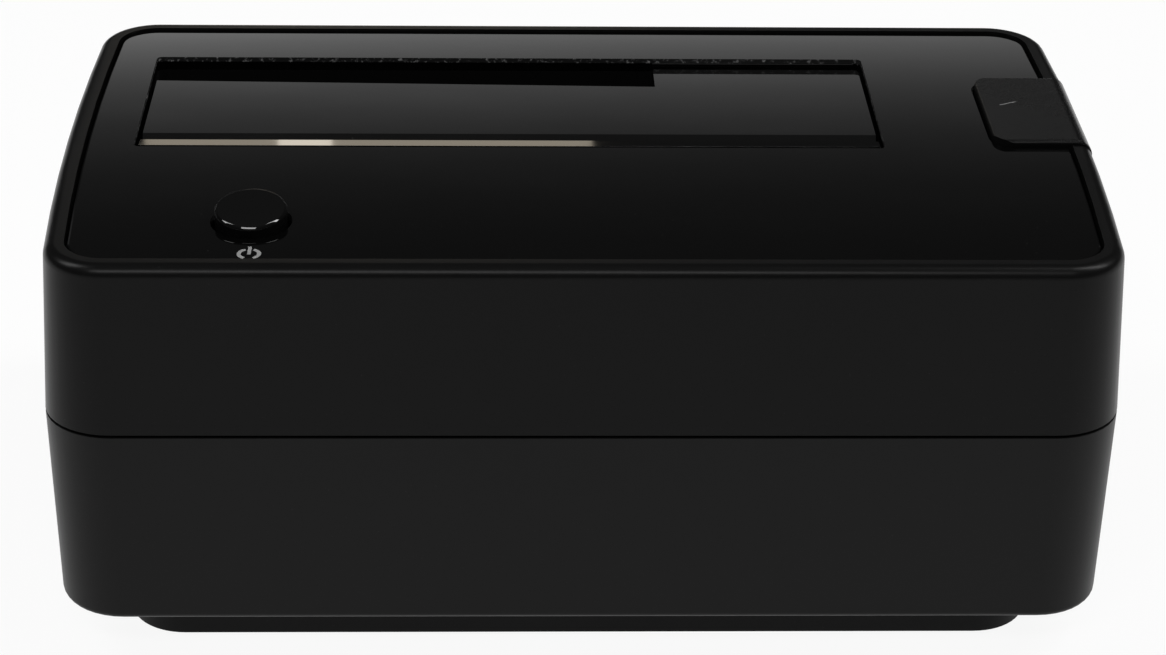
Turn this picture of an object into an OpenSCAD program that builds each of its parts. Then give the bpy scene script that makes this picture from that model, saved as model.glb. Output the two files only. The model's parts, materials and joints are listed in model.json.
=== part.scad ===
// Hard drive docking station: a desktop cradle that takes one bare 3.5 or 2.5 inch drive upright.
// Millimetres. X to the right, Y to the back, Z up. Origin on the table, under the middle of the body.

/* [Housing] */
// Width across the seam, at the middle of the bowed sides
body_w = 143.6; // [140:0.2:160]
// Depth across the seam
body_d = 84.6; // [82:0.2:100]
// Height from the table to the rim
body_h = 58.6; // [57:0.2:70]
// Height of the seam between the two shells
seam_z = 35; // [32:0.2:37]
// Open shadow line at the seam
seam_gap = 0.4; // [0.2:0.1:0.8]
// Radius of the upright corners at the seam
corner_r = 9.4; // [8.6:0.1:12]
// Radius of the bowed side walls
side_r = 590; // [400:10:2000]
// Distance from the middle of the body to the widest place of the sides, towards the back
bow_y = 7; // [0:0.5:10]
// Wall of both shells
wall = 2.2; // [2:0.1:2.6]
// Inward lean of the upper shell from the seam to the rim
upper_lean = 1.25; // [0.4:0.1:1.8]
// Inward lean of the lower shell from the seam to its bottom
lower_lean = 0.4; // [0.2:0.1:2]
// Round on the outer edge of the rim
rim_fillet = 1.7; // [1:0.1:2.6]
// Round on the bottom edge of the lower shell
bottom_fillet = 1; // [0.6:0.1:1.8]
// Thickness of the outer lip at the seam
lip_t = 1.2; // [0.9:0.1:1.4]
// Height of the locating tongue above the seam
tongue_h = 1.5; // [1:0.1:2.5]
// Floor of the lower shell
floor_t = 2; // [1.6:0.1:2.6]

/* [Base] */
// Distance from the side of the body to the recessed base plate
base_in_x = 10.2; // [9.6:0.2:14]
// Distance from the front of the body to the recessed base plate
base_in_y = 5.6; // [4.8:0.1:8]
// Corner radius of the base plate
base_r = 8; // [5:0.5:12]
// Height of the base plate
base_h = 5.7; // [4.6:0.1:7]
// Wall and floor of the base plate
base_t = 2; // [1.6:0.1:2.4]
// Distance from the side of the base plate to the middle of a foot
foot_in_x = 11.6; // [8:0.2:14]
// Distance from the front of the base plate to the middle of a foot
foot_in_y = 9.7; // [8:0.1:11]
// Diameter of a rubber foot
foot_d = 10; // [8:0.5:11]
// Height of a foot below the base plate
foot_h = 1; // [0.8:0.1:2]
// Depth of a foot's seat in the base plate
foot_seat = 0.6; // [0.4:0.1:0.8]

/* [Top panel] */
// Width of the matt rim round the panel
rim_w = 2.75; // [2.5:0.05:4.4]
// Thickness of the gloss panel
panel_t = 2; // [1.6:0.1:2.6]
// Depth of the panel below the rim
panel_recess = 0.4; // [0.2:0.1:0.8]
// Gap between the panel and the rim
panel_gap = 0.25; // [0.15:0.05:0.5]
// Round on the panel's outer edge
panel_edge = 0.4; // [0.2:0.1:0.8]
// Thickness of the deck under the panel
deck_t = 2; // [1.6:0.1:2.6]

/* [Drive slot] */
// Depth of the slot, for a drive 26.1 thick and the folded flap
slot_d = 31.5; // [30.5:0.1:33]
// Distance from the left side of the body to the slot
slot_left = 10.7; // [10.4:0.1:12]
// Distance from the right side of the body to the slot
slot_right = 29.9; // [28.6:0.1:31]
// Distance from the back of the body to the slot
slot_back = 14.2; // [14:0.1:16]
// Corner radius of the slot
slot_r = 0.8; // [0.5:0.1:1.5]
// Wall of the drive well
well_wall = 1.6; // [1.2:0.1:1.7]
// Height of the surface that a drive stands on
drive_z = 20.1; // [19.5:0.1:22]
// Thickness of the well's floor
well_floor = 1.8; // [1.4:0.1:2.2]
// Clearance between the well and the deck
well_fit = 0.2; // [0.1:0.05:0.4]

/* [Flap] */
// Gap at each end of the flap
flap_end_gap = 0.5; // [0.3:0.1:1]
// Gap behind the flap
flap_rear_gap = 0.5; // [0.3:0.1:1]
// Gap in front of the hinge barrel
flap_front_gap = 0.45; // [0.3:0.05:0.8]
// Depth of the flap's face below the panel
flap_recess = 1.2; // [1:0.1:2]
// Thickness of the flap
flap_t = 1.9; // [1.5:0.1:2.4]
// Radius of the hinge barrel
barrel_r = 2.35; // [2.2:0.05:2.7]
// Depth of the top of the barrel below the panel
barrel_drop = 0.75; // [0.6:0.05:1]
// Depth of the flat on top of the barrel
land_d = 2.4; // [1.8:0.1:2.6]
// Backward slope of that flat
land_slope = 6; // [3:0.5:8]
// Distance from the hinge axis to the front of the flap's face
face_start = 4.3; // [3.8:0.1:5]
// Width of the notch for a 2.5 inch drive
notch_w = 72.4; // [71:0.2:76]
// Depth of the notch at its outer end
notch_d_outer = 5.4; // [4:0.1:8]
// Depth of the notch at its inner end
notch_d_inner = 7.1; // [4:0.1:8]
// Round on the flap's free corner
flap_corner_r = 1.6; // [1:0.1:3]
// Diameter of the steel hinge pin
hinge_pin_d = 1.6; // [1.4:0.1:1.8]
// Height of the ribs under the flap
flap_rib_h = 1.2; // [0.8:0.1:1.2]
// Thickness of the ribs under the flap
flap_rib_t = 1.2; // [0.8:0.1:1.6]

/* [Power button] */
// Diameter of the button
button_d = 9.4; // [8:0.1:10]
// Diameter of the hole in the panel
button_hole_d = 10.6; // [10.4:0.1:12]
// Height of the button above the panel, at its back
button_rise = 2.6; // [2:0.1:3.4]
// Forward slope of the button's top
button_slope = 7.6; // [0:0.2:10]
// Bevel on the button's edge
button_bevel = 0.3; // [0.1:0.05:0.6]
// Distance from the left side of the body to the button
button_left = 28.6; // [27.6:0.2:40]
// Distance from the front of the body to the button
button_front = 15.6; // [14.6:0.2:18]
// Travel of the button
button_travel = 2; // [1:0.1:2.4]

/* [Eject button] */
// Width of the eject button over the rim
eject_w = 13.6; // [13.4:0.05:15]
// Length of the eject button
eject_len = 22.4; // [18:0.2:24]
// Distance from the middle of the slot to the middle of the eject button, towards the front
eject_fore = 3.95; // [3:0.05:5]
// Gap round the eject button
eject_gap = 0.4; // [0.3:0.1:0.6]
// Height of the eject button above the panel
eject_rise = 0.9; // [0.8:0.1:2]
// Corner radius of the eject button
eject_r = 3; // [2:0.2:4]
// Round on the top edges of the eject button
eject_edge = 0.5; // [0.3:0.1:1.2]
// Round where the eject button turns over the side
eject_turn = 2.2; // [1.2:0.1:3]
// Height of the lip that hangs over the side
eject_lip = 6.1; // [5:0.1:8]
// Travel of the eject button
eject_travel = 5; // [3:0.25:5.25]
// Diameter of the eject button's stem
stem_d = 6; // [5:0.2:6.4]

/* [Eject lever] */
// Width of the lever
lever_w = 6; // [5:0.2:8]
// Thickness of the lever
lever_t = 3; // [2.4:0.1:3.2]
// Distance from the right end of the slot to the lever's pivot
pivot_in = 12; // [11:0.5:14]
// Diameter of the lever's pin
lever_pin_d = 2; // [1.6:0.1:2.2]
// Clearance between the stem and the lever at rest
lever_gap = 0.3; // [0.2:0.05:0.5]

/* [Electronics] */
// Thickness of the circuit boards
board_t = 1.6; // [1.2:0.1:2]
// Height of the standoffs under the main board
standoff_h = 2.5; // [2.4:0.1:3]
// Gap between the main board and the screw posts
board_side = 1.5; // [1:0.1:3]
// Distance from the back of the body to the main board
board_back = 4.5; // [4.3:0.1:5.5]
// Depth of the main board
board_d = 24.8; // [24:0.2:26]
// Length of the drive connector
sata_w = 42; // [41:0.2:44]
// Thickness of the drive connector
sata_d = 6; // [5.6:0.1:6.4]
// Height of the drive connector above the surface that a drive stands on
sata_rise = 4.4; // [3.5:0.1:5.5]
// Distance from the left end of the slot to the middle of the drive connector
sata_left = 29; // [27:0.5:30]
// Distance from the back of the slot to the middle of the drive connector
sata_back = 4.6; // [4.2:0.1:5.5]
// Width of the USB socket
usb_w = 12; // [11.6:0.1:12.4]
// Height of the USB socket
usb_h = 10.8; // [10.4:0.1:11.2]
// Length of the USB socket
usb_len = 15.2; // [14:0.2:16]
// Diameter of the power inlet's mouth
jack_d = 8; // [7.6:0.1:8.4]

/* [Fasteners] */
// Diameter of the shell screws
screw_d = 2.6; // [2.2:0.1:3]
// Diameter of the shell screws' heads
head_d = 4.8; // [4.4:0.1:5]
// Height of the shell screws' heads
head_h = 1.8; // [1.4:0.1:2]
// Diameter of the posts that take the shell screws
boss_d = 7; // [6.6:0.1:7.2]
// Diameter of the small screws
small_screw_d = 2; // [1.8:0.1:2.4]
// Diameter of the small screws' heads
small_head_d = 4; // [3.6:0.1:4.4]
// Height of the small screws' heads
small_head_h = 1.4; // [1.2:0.1:1.6]
// Diameter of the posts that take the small screws
small_boss_d = 5.4; // [5:0.1:5.8]

/* [Hidden] */
$fn = 64;
corner_steps = 10;
side_steps = 6;
fillet_steps = 6;

// Clearances that several fits share
slide_fit = 0.08;
pin_fit = 0.05;
screw_fit = 0.2;
lip_fit = 0.1;
cut = 1;

// Heights
lower_z = foot_h + base_h;
floor_top = lower_z + floor_t;
tongue_top = seam_z + tongue_h;
panel_top = body_h - panel_recess;
deck_top = panel_top - panel_t;
deck_bot = deck_top - deck_t;
board_bot = floor_top + standoff_h;
board_top = board_bot + board_t;
well_z = drive_z - well_floor;

// Plan of the seam: straight front and back, bowed sides, round corners
half_w = body_w / 2;
half_d = body_d / 2;
side_x = half_w - side_r;
corner_reach = side_r - corner_r;
corner_y = half_d - corner_r;
front_angle = asin((-corner_y - bow_y) / corner_reach);
rear_angle = asin((corner_y - bow_y) / corner_reach);
front_x = side_x + corner_reach * cos(front_angle);
rear_x = side_x + corner_reach * cos(rear_angle);

// Base plate and feet
base_w = body_w - 2 * base_in_x;
base_d = body_d - 2 * base_in_y;
foot_x = base_w / 2 - foot_in_x;
foot_y = base_d / 2 - foot_in_y;

// Slot and flap: the margins leave a width of 103 for a drive that is 101.6 wide
slot_x0 = -half_w + slot_left;
slot_x1 = half_w - slot_right;
slot_w = slot_x1 - slot_x0;
slot_y1 = half_d - slot_back;
slot_y0 = slot_y1 - slot_d;
slot_x = (slot_x0 + slot_x1) / 2;
slot_y = (slot_y0 + slot_y1) / 2;
hinge_y = slot_y0 + flap_front_gap + barrel_r;
hinge_z = panel_top - barrel_drop - barrel_r;
flap_x0 = slot_x0 + flap_end_gap;
flap_x1 = slot_x1 - flap_end_gap;
flap_y1 = slot_y1 - flap_rear_gap;
flap_top = panel_top - flap_recess;
flap_bot = flap_top - flap_t;
face_y = hinge_y + face_start;
land_front = 1.05;
land_drop = 0.6;
land_back = 0.2;
land_side = 30;
land_y0 = hinge_y - land_front;
land_y1 = land_y0 + land_d;
land_z0 = panel_top - land_drop;
land_z1 = land_z0 - land_d * tan(land_slope);
pin_r = hinge_pin_d / 2;

// Torsion spring in the hollow right end of the hinge barrel
spring_wire = 0.4;
spring_turns = 5;
spring_pitch = 1.2;
spring_pin_gap = 0.7;
spring_wall_gap = 0.25;
spring_end = 1.5;
spring_in = 5;
spring_r = pin_r + spring_pin_gap;
spring_room_r = spring_r + spring_wire / 2 + spring_wall_gap;
spring_room_x1 = flap_x1 - spring_in;
spring_room_x0 = spring_room_x1 - spring_turns * spring_pitch - 2 * spring_end;
spring_x0 = spring_room_x0 + spring_end;
spring_leg = 8;

// Power button and its switch
button_x = -half_w + button_left;
button_y = -half_d + button_front;
button_top = panel_top + button_rise;
flange_t = 1.4;
flange_out = 1.2;
flange_gap = 0.3;
flange_r = button_d / 2 + flange_out;
flange_top = deck_bot - flange_gap;
switch_size = 6;
switch_h = 6;
plunger_d = 3.2;
plunger_spare = 0.4;
plunger_out = button_travel + plunger_spare;
plunger_bot_gap = 0.2;
switch_floor = 1;
button_stem_d = 4;
button_stem_h = 4.5;
button_bot = flange_top - flange_t - button_stem_h;
switch_board_top = button_bot - plunger_out - switch_h;
switch_board_bot = switch_board_top - board_t;
switch_board_w = 26;
switch_board_d = 12;
switch_post_gap = 0.6;
switch_post_x = flange_r + switch_post_gap + small_boss_d / 2;

// Eject button: it slides in a pocket of the upper shell
eject_in = 1.2;
eject_x1 = half_w - eject_in;
eject_x0 = eject_x1 - eject_w;
eject_y = slot_y - eject_fore;
eject_top = panel_top + eject_rise;
eject_t = 2.2;
eject_under = eject_top - eject_t;
lip_bot = eject_top - eject_lip;
lip_spare = 0.6;
side_cut_z = lip_bot - eject_travel - lip_spare;
pocket_t = 1.6;
pocket_drop = 1.8;
pocket_floor = side_cut_z - pocket_drop;
pocket_x0 = eject_x0 - eject_gap;
pocket_len = eject_len + 2 * eject_gap;
apron_t = 1.3;
apron_gap = 0.4;
apron_wall_gap = 0.5;
apron_drop = 3.6;
wall_inside_x = half_w - wall - upper_lean;
apron_x1 = wall_inside_x - apron_wall_gap;
apron_x0 = apron_x1 - apron_t;
apron_bot = pocket_floor - apron_drop;
stem_x = (pocket_x0 + apron_x0) / 2;
stem_taper = 1.2;
guide_h = 5.6;
guide_wall = 1.6;
guide_d = stem_d + 2 * guide_wall;
eject_spring_wire = 0.8;
eject_spring_turns = 6;
eject_spring_gap = 1.2;
eject_spring_r = stem_d / 2 + eject_spring_gap;
spring_seat = 0.1;

// Eject lever: it tips on a pin under the well, and its tip rises beside the drive connector
pivot_x = slot_x1 - pivot_in;
pivot_lift = 0.15;
pivot_z = (board_top + well_z) / 2 + pivot_lift;
lever_top = pivot_z + lever_t / 2;
stem_bot = lever_top + lever_gap;
hub_wall = 1.2;
hub_r = lever_pin_d / 2 + hub_wall;
tip_w = 6;
nub_w = 4;
nub_drop = 0.4;
nub_len = 11;
nub_back = 3;
nub_top = drive_z - nub_drop;
nub_y1 = slot_y1 - nub_back;
nub_y0 = nub_y1 - nub_len;
lever_y0 = eject_y - lever_w / 2;
lever_y1 = eject_y + lever_w / 2;
lever_side_gap = 0.3;
lever_room = 0.5;
lever_swing_gap = 1.6;
ear_t = 1.6;
ear_half = hub_r + 1;

// Main board and what stands on it
board_y1 = half_d - board_back;
board_y0 = board_y1 - board_d;
sata_x = slot_x0 + sata_left;
sata_y = slot_y1 - sata_back;
sata_top = drive_z + sata_rise;
sata_pitch = 1.27;
sata_slots = [[7, -13.2], [15, 4.6]];
sata_slot_d = 2.4;
sata_slot_depth = 5;
sata_room = 0.6;
floor_web = 1.2;
tip_x = sata_x + sata_w / 2 + sata_room + floor_web + lever_swing_gap + tip_w / 2;
usb_side = 1.5;
usb_in = 0.45;
usb_x = slot_x1 + well_wall + usb_side + usb_w / 2;
usb_wall = 0.5;
usb_front = half_d - usb_in;
usb_room = 0.3;
usb_block_len = 5;
usb_tongue_w = 5.6;
usb_tongue_t = 3.2;
usb_tongue_lift = 3;
usb_tongue_in = 1.5;
jack_side = 22;
jack_x = slot_x1 - jack_side;
jack_w = 9;
jack_h = 10.6;
jack_rise = 6.4;
jack_z = board_top + jack_rise;
jack_well_gap = 0.5;
jack_y0 = slot_y1 + well_wall + jack_well_gap;
jack_in = 0.65;
jack_front = half_d - jack_in;
jack_wall_gap = 0.4;
jack_y1 = half_d - lower_lean - wall - jack_wall_gap;
jack_bore_d = 6.3;
jack_pin_d = 2;
jack_room = 0.2;
jack_floor = 1.5;
jack_pin_in = 1;
fix_edge = 3.6;
fix_left = 8;
fix_left_rear = 21;
fix_right = 6;
board_fix = [
  [slot_x0 + fix_left, board_y0 + fix_edge],
  [slot_x1 - fix_right, board_y0 + fix_edge],
  [slot_x0 + fix_left_rear, board_y1 - fix_edge],
  [slot_x1 - fix_right, board_y1 - fix_edge]
];

// Small parts on the main board
chip_size = 10;
chip_h = 1.4;
chip_in = 11;
chip_x = (tip_x + pivot_x) / 2;
chip_y = board_y0 + chip_in;
crystal_w = 10.6;
crystal_d = 4.4;
crystal_h = 3.4;
crystal_side = 8;
crystal_in = 14;
crystal_x = slot_x1 - crystal_side;
crystal_y = board_y0 + crystal_in;
coil_size = 6.4;
coil_h = 3;
coil_side = 16.4;
coil_in = 5.4;
coil_x = jack_x - coil_side;
coil_y = board_y1 - coil_in;
cap_d = 6.3;
cap_h = 8;
cap_gap = 0.8;
cap_edge = 1;
cap_x = slot_x1 + well_wall + cap_edge + cap_d / 2;
cap_y = board_y0 + cap_edge + cap_d / 2;

// Lead from the switch board to the main board
lead_d = 1.2;
lead_pitch = 2;
lead_bend = 4;
lead_off_x = 4;
lead_off_y = 3;
lead_x = button_x + lead_off_x;
lead_y = button_y + lead_off_y;
plug_w = 6;
plug_d = 5;
plug_h = 3.6;
plug_edge = 0.6;
plug_y0 = board_y0 + plug_edge;
lead_z = board_top + plug_h / 2;

// Screw posts
boss_in_x = 8.2;
boss_in_y = 8.3;
boss_drop = 1.5;
boss_x = half_w - boss_in_x;
boss_y = half_d - boss_in_y;
boss_split = seam_z - boss_drop;
board_w = 2 * (boss_x - boss_d / 2 - board_side);
shell_counterbore = 8;
shell_grip = 10;
shell_seat = lower_z + shell_counterbore;
shell_screw_len = boss_split - shell_seat + shell_grip;
base_head_gap = 0.4;
base_board_gap = 0.5;
base_screw_gap = 0.3;
base_seat = foot_h + foot_seat + head_h + base_head_gap;
base_boss_top = floor_top + standoff_h - base_board_gap;
base_screw_len = base_boss_top - base_seat - base_screw_gap;
lug = 8;
lug_t = 2.4;
lug_drop = 8;
lug_top = deck_bot - lug_drop;
lug_left = 11;
lug_right = 12;
lug_xs = [slot_x0 + lug_left, slot_x1 - lug_right];
lug_reach = 4.5;
lug_ys = [slot_y0 - well_wall - lug_reach, slot_y1 + well_wall + lug_reach];
small_screw_len = 7;

// Shared shapes

module at_corners(x, y) {
  for (sx = [-1, 1], sy = [-1, 1])
    translate([sx * x, sy * y, 0])
      children();
}

module rounded_rect(w, d, r) {
  square([w - 2 * r, d], center = true);
  square([w, d - 2 * r], center = true);
  at_corners(w / 2 - r, d / 2 - r)
    circle(r);
}

// A quarter of a disc, round towards +X +Y
module quarter(r) {
  intersection() {
    circle(r);
    square(r);
  }
}

// Points on an arc, from one angle to another
function arc(c, r, a0, a1, steps) =
  [for (k = [0:steps]) let (a = a0 + (a1 - a0) * k / steps) c + r * [cos(a), sin(a)]];

// The list without its first point
function tail(points) = [for (i = [1:len(points) - 1]) points[i]];

// The right half of the seam outline, grown by a distance: front corner, bowed side, rear corner
function right_half(grow) =
  concat(
    arc([front_x, -corner_y], corner_r + grow, -90, front_angle, corner_steps),
    tail(arc([side_x, bow_y], side_r + grow, front_angle, rear_angle, side_steps)),
    tail(arc([rear_x, corner_y], corner_r + grow, rear_angle, 90, corner_steps))
  );
function outline(grow) =
  let (half = right_half(grow), n = len(half))
  concat(half, [for (i = [1:n]) [-half[n - i][0], half[n - i][1]]]);

// Points of the outline at each step of a profile, whose steps are [distance outside the seam, height]
function swept_points(profile) =
  [for (step = profile, p = outline(step[0])) [p[0], p[1], step[1]]];

// Quads, as triangles, between two steps of a profile
function band(a, b, n) =
  [
    for (k = [0:n - 1])
      let (next = (k + 1) % n)
      each [[a * n + k, b * n + k, a * n + next], [a * n + next, b * n + k, b * n + next]]
  ];

// Sweeps a closed profile, listed against the clock, round the seam outline
module around(profile) {
  n = len(outline(0));
  steps = len(profile);
  faces = [for (i = [0:steps - 1]) each band(i, (i + 1) % steps, n)];
  polyhedron(swept_points(profile), faces);
}

// A solid whose outline follows a profile, listed from the bottom up
module stack(profile) {
  n = len(outline(0));
  top = (len(profile) - 1) * n;
  sides = [for (i = [0:len(profile) - 2]) each band(i, i + 1, n)];
  caps = [for (k = [1:n - 2]) each [[0, k, k + 1], [top, top + k + 1, top + k]]];
  polyhedron(swept_points(profile), concat(sides, caps));
}

// A pan-head screw, with the head under z = 0 and the shank above it
module screw(d, hd, hh, len) {
  rotate_extrude()
    polygon([[0, -hh], [hd / 2, -hh], [hd / 2, 0], [d / 2, 0], [d / 2, len], [0, len]]);
}

// One unbroken wire round Z, 6 sides and 8 rings a turn, with a straight leg at each end
module wire_coil(r, wire, turns, height, leg_in, leg_out) {
  steps = 8 * turns;
  function radial(i) = [cos(45 * i), sin(45 * i), 0];
  function along(i) = [-sin(45 * i), cos(45 * i), 0];
  function middle(i) = r * radial(i) + [0, 0, height * i / steps];
  function ring(c, u) =
    [for (k = [0:5]) c + wire / 2 * (cos(60 * k) * u + sin(60 * k) * [0, 0, 1])];
  inner = [for (i = [0:steps]) ring(middle(i), radial(i))];
  first = leg_in > 0 ? [ring(middle(0) - leg_in * along(0), radial(0))] : [];
  last = leg_out > 0 ? [ring(middle(steps) + leg_out * along(steps), radial(steps))] : [];
  rings = concat(first, inner, last);
  n = len(rings);
  points = [for (ring_points = rings, p = ring_points) p];
  sides = [
    for (i = [0:n - 2], k = [0:5])
      let (a = 6 * i + k, b = 6 * i + (k + 1) % 6)
      each [[a, a + 6, b], [b, a + 6, b + 6]]
  ];
  caps = [
    for (k = [1:4])
      each [[0, k, k + 1], [6 * n - 6, 6 * n - 6 + k + 1, 6 * n - 6 + k]]
  ];
  gap = min([for (i = [0:steps - 8]) norm(middle(i + 8) - middle(i))]) - wire;
  echo(least_gap_between_turns = gap);
  polyhedron(points, concat(sides, caps));
}

// Housing

upper_profile = concat(
  [[-lip_t, seam_z + seam_gap / 2], [0, seam_z + seam_gap / 2]],
  arc([-upper_lean - rim_fillet, body_h - rim_fillet], rim_fillet, 0, 90, fillet_steps),
  [
    [-upper_lean - rim_w, body_h],
    [-upper_lean - rim_w, deck_bot],
    [-upper_lean - wall, deck_bot - rim_w + wall],
    [-wall, tongue_top],
    [-lip_t, tongue_top]
  ]
);

// Pocket that the eject button slides in, with its floor and the guide for the stem
module eject_pocket() {
  out = pocket_len + 2 * pocket_t;
  x0 = pocket_x0 - pocket_t;
  translate([x0, eject_y - out / 2, pocket_floor - pocket_t])
    cube([wall_inside_x + wall / 4 - x0, out, deck_bot - pocket_floor + pocket_t + deck_t / 2]);
  translate([stem_x, eject_y, pocket_floor - guide_h])
    cylinder(d = guide_d, h = guide_h);
}

// Plan of the eject button, grown by a gap, with its outer end left open to the side
module eject_plan(gap, x_end) {
  w = x_end - eject_x0 + gap + eject_r + gap;
  intersection() {
    translate([eject_x0 - gap + w / 2, eject_y])
      rounded_rect(w, eject_len + 2 * gap, eject_r + gap);
    translate([eject_x0 - gap, eject_y - eject_len])
      square([x_end - eject_x0 + gap, 2 * eject_len]);
  }
}

module eject_pocket_room() {
  translate([0, 0, side_cut_z])
    linear_extrude(body_h - side_cut_z + cut)
      eject_plan(eject_gap, half_w + cut);
  translate([0, 0, pocket_floor])
    linear_extrude(side_cut_z - pocket_floor + cut)
      eject_plan(eject_gap, wall_inside_x);
  translate([apron_x0 - apron_gap, eject_y - pocket_len / 2, pocket_floor - pocket_t - cut])
    cube([wall_inside_x - apron_x0 + apron_gap, pocket_len, pocket_t + 2 * cut]);
  translate([stem_x, eject_y, pocket_floor - guide_h - cut])
    cylinder(d = stem_d + 2 * slide_fit, h = guide_h + 2 * cut);
}

module well_fixings() {
  for (x = lug_xs, y = lug_ys)
    translate([x, y, 0])
      children();
}

module switch_fixings() {
  for (side = [-1, 1])
    translate([button_x + side * switch_post_x, button_y, 0])
      children();
}

module upper_shell() {
  color("#18181a")
    difference() {
      union() {
        around(upper_profile);
        stack([[-upper_lean - wall, deck_bot], [-upper_lean - wall, deck_top]]);
        at_corners(boss_x, boss_y)
          translate([0, 0, boss_split])
            cylinder(d = boss_d, h = deck_bot - boss_split + deck_t / 2);
        well_fixings()
          translate([0, 0, lug_top])
            cylinder(d = small_boss_d, h = deck_bot - lug_top + deck_t / 2);
        switch_fixings()
          translate([0, 0, switch_board_top])
            cylinder(d = small_boss_d, h = deck_bot - switch_board_top + deck_t / 2);
        eject_pocket();
      }
      translate([slot_x, slot_y, deck_bot - cut])
        linear_extrude(deck_t + 2 * cut)
          rounded_rect(
            slot_w + 2 * well_wall + 2 * well_fit,
            slot_d + 2 * well_wall + 2 * well_fit,
            slot_r + well_wall + well_fit
          );
      translate([button_x, button_y, deck_bot - cut])
        cylinder(d = button_d + 2 * slide_fit, h = deck_t + 2 * cut);
      eject_pocket_room();
      at_corners(boss_x, boss_y)
        translate([0, 0, boss_split - cut])
          cylinder(d = screw_d, h = shell_screw_len + shell_seat - boss_split + 2 * cut);
      well_fixings()
        translate([0, 0, lug_top - cut])
          cylinder(d = small_screw_d, h = small_screw_len - lug_t + 2 * cut);
      switch_fixings()
        translate([0, 0, switch_board_top - cut])
          cylinder(d = small_screw_d, h = small_screw_len - board_t + 2 * cut);
    }
}

lower_profile = concat(
  [[-lower_lean - 2 * wall, lower_z]],
  arc(
    [-lower_lean - bottom_fillet, lower_z + bottom_fillet], bottom_fillet, -90, 0, fillet_steps
  ),
  [
    [0, seam_z - seam_gap / 2],
    [-lip_t - lip_fit, seam_z - seam_gap / 2],
    [-lip_t - lip_fit, tongue_top],
    [-wall, tongue_top],
    [-wall, seam_z - seam_gap / 2],
    [-lower_lean - wall, floor_top],
    [-lower_lean - 2 * wall, floor_top]
  ]
);

module usb_outline(grow) {
  w = usb_w + 2 * grow;
  h = usb_h + 2 * grow;
  slope = 2;
  polygon([
    [-w / 2, 0],
    [w / 2, 0],
    [w / 2, h - slope],
    [w / 2 - slope, h],
    [-w / 2 + slope, h],
    [-w / 2, h - slope]
  ]);
}

module lower_shell() {
  color("#232325")
    difference() {
      union() {
        around(lower_profile);
        stack([[-lower_lean - wall, lower_z], [-lower_lean - wall, floor_top]]);
        at_corners(boss_x, boss_y)
          translate([0, 0, lower_z + floor_t / 2])
            cylinder(d = boss_d, h = boss_split - lower_z - floor_t / 2);
        at_corners(foot_x, foot_y)
          translate([0, 0, lower_z + floor_t / 2])
            cylinder(d = boss_d, h = base_boss_top - lower_z - floor_t / 2);
        for (p = board_fix)
          translate([p[0], p[1], lower_z + floor_t / 2])
            cylinder(d = small_boss_d, h = board_bot - lower_z - floor_t / 2);
      }
      at_corners(boss_x, boss_y) {
        translate([0, 0, lower_z - cut])
          cylinder(d = head_d + 2 * screw_fit, h = shell_seat - lower_z + cut);
        translate([0, 0, shell_seat - cut])
          cylinder(d = screw_d + screw_fit, h = boss_split - shell_seat + 2 * cut);
      }
      at_corners(foot_x, foot_y)
        translate([0, 0, lower_z - cut])
          cylinder(d = screw_d, h = base_boss_top - lower_z + 2 * cut);
      for (p = board_fix)
        translate([p[0], p[1], lower_z + floor_t / 4])
          cylinder(d = small_screw_d, h = board_bot - lower_z + cut);
      translate([usb_x, half_d + cut, board_top - usb_room])
        rotate([90, 0, 0])
          linear_extrude(wall + lower_lean + 2 * cut)
            usb_outline(usb_room);
      translate([jack_x, half_d + cut, jack_z])
        rotate([90, 0, 0])
          cylinder(d = jack_d + 2 * jack_room, h = wall + lower_lean + 2 * cut);
    }
}

module base_plate() {
  color("#141416")
    difference() {
      union() {
        translate([0, 0, foot_h])
          linear_extrude(base_t)
            rounded_rect(base_w, base_d, base_r);
        translate([0, 0, foot_h])
          linear_extrude(base_h)
            difference() {
              rounded_rect(base_w, base_d, base_r);
              rounded_rect(base_w - 2 * base_t, base_d - 2 * base_t, base_r - base_t);
            }
        at_corners(foot_x, foot_y)
          translate([0, 0, foot_h])
            cylinder(d = foot_d - 1, h = base_h);
      }
      at_corners(foot_x, foot_y) {
        translate([0, 0, foot_h - cut])
          cylinder(d = foot_d + screw_fit, h = foot_seat + cut);
        translate([0, 0, foot_h])
          cylinder(d = head_d + 2 * screw_fit, h = base_seat - foot_h);
        translate([0, 0, foot_h])
          cylinder(d = screw_d + screw_fit, h = base_h + cut);
      }
    }
}

module rubber_feet() {
  edge = 0.3;
  color("#0e0e0e")
    at_corners(foot_x, foot_y) {
      cylinder(d1 = foot_d - 2 * edge, d2 = foot_d, h = edge);
      translate([0, 0, edge])
        cylinder(d = foot_d, h = foot_h + foot_seat - edge);
    }
}

module top_panel() {
  grow = -upper_lean - rim_w - panel_gap;
  edge = arc([grow - panel_edge, panel_top - panel_edge], panel_edge, 0, 90, fillet_steps / 2);
  color("#050507")
    difference() {
      stack(concat([[grow, deck_top]], edge));
      translate([slot_x, slot_y, deck_top - cut])
        linear_extrude(panel_t + 2 * cut)
          rounded_rect(slot_w, slot_d, slot_r);
      translate([button_x, button_y, deck_top - cut])
        cylinder(d = button_hole_d, h = panel_t + 2 * cut);
      translate([0, 0, deck_top - cut])
        linear_extrude(panel_t + 2 * cut)
          eject_plan(eject_gap, half_w);
    }
}

// Drive well and flap

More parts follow.
